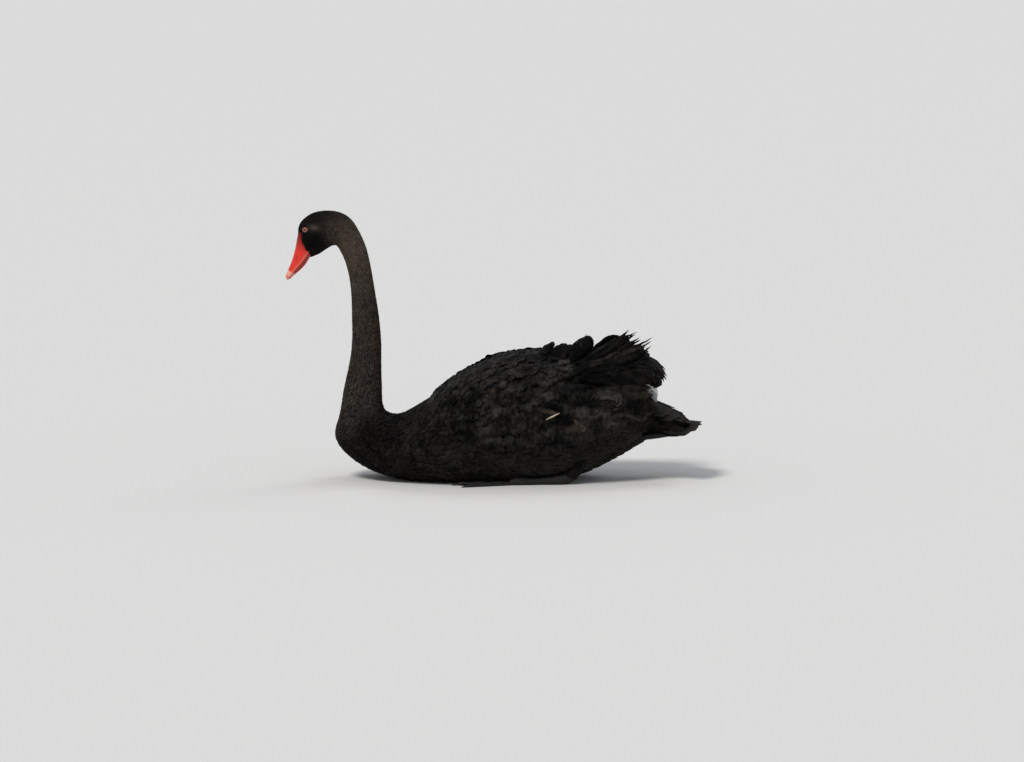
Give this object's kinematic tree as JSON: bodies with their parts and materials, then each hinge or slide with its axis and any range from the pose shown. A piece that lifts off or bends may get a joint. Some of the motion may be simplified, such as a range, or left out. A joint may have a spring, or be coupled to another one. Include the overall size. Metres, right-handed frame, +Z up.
{
  "type": "black swan",
  "caption": "Still, life-size black swan resting on its belly: long S-curved neck, down-turned red bill, folded wings with ruffled curled feathers, short tail and webbed feet tucked under.",
  "frame": {"origin": "on the floor, in the middle of the flat on which the belly rests", "axes": "the swan faces -X, +Z is up, and its own left side is towards -Y; the XZ plane is its plane of symmetry but for the ruffled feathers"},
  "size_m": [0.7487, 0.2998, 0.4842],
  "materials": {
    "plumage": "brown-black body feathers with a soft, faintly glossy surface",
    "neck_plumage": "short, dense, matt dark grey-brown feathers",
    "wing_plumage": "overlapping brown-black vanes with paler worn edges",
    "bill": "smooth waxy red horn with a pale band near the tip",
    "eye": "wet, clear eye with a red iris",
    "leg": "scaly black skin"
  },
  "bodies": {
    "root": {"torso": "plumage", "neck_lower": "neck_plumage", "neck_middle": "neck_plumage", "neck_upper": "neck_plumage", "head": "neck_plumage", "bill_upper": "bill", "bill_lower": "bill", "eye_left": "eye", "eye_right": "eye", "wing_left": "wing_plumage", "wing_right": "wing_plumage", "tail": "wing_plumage", "leg_left": "leg", "leg_right": "leg"}
  },
  "joints": []
}
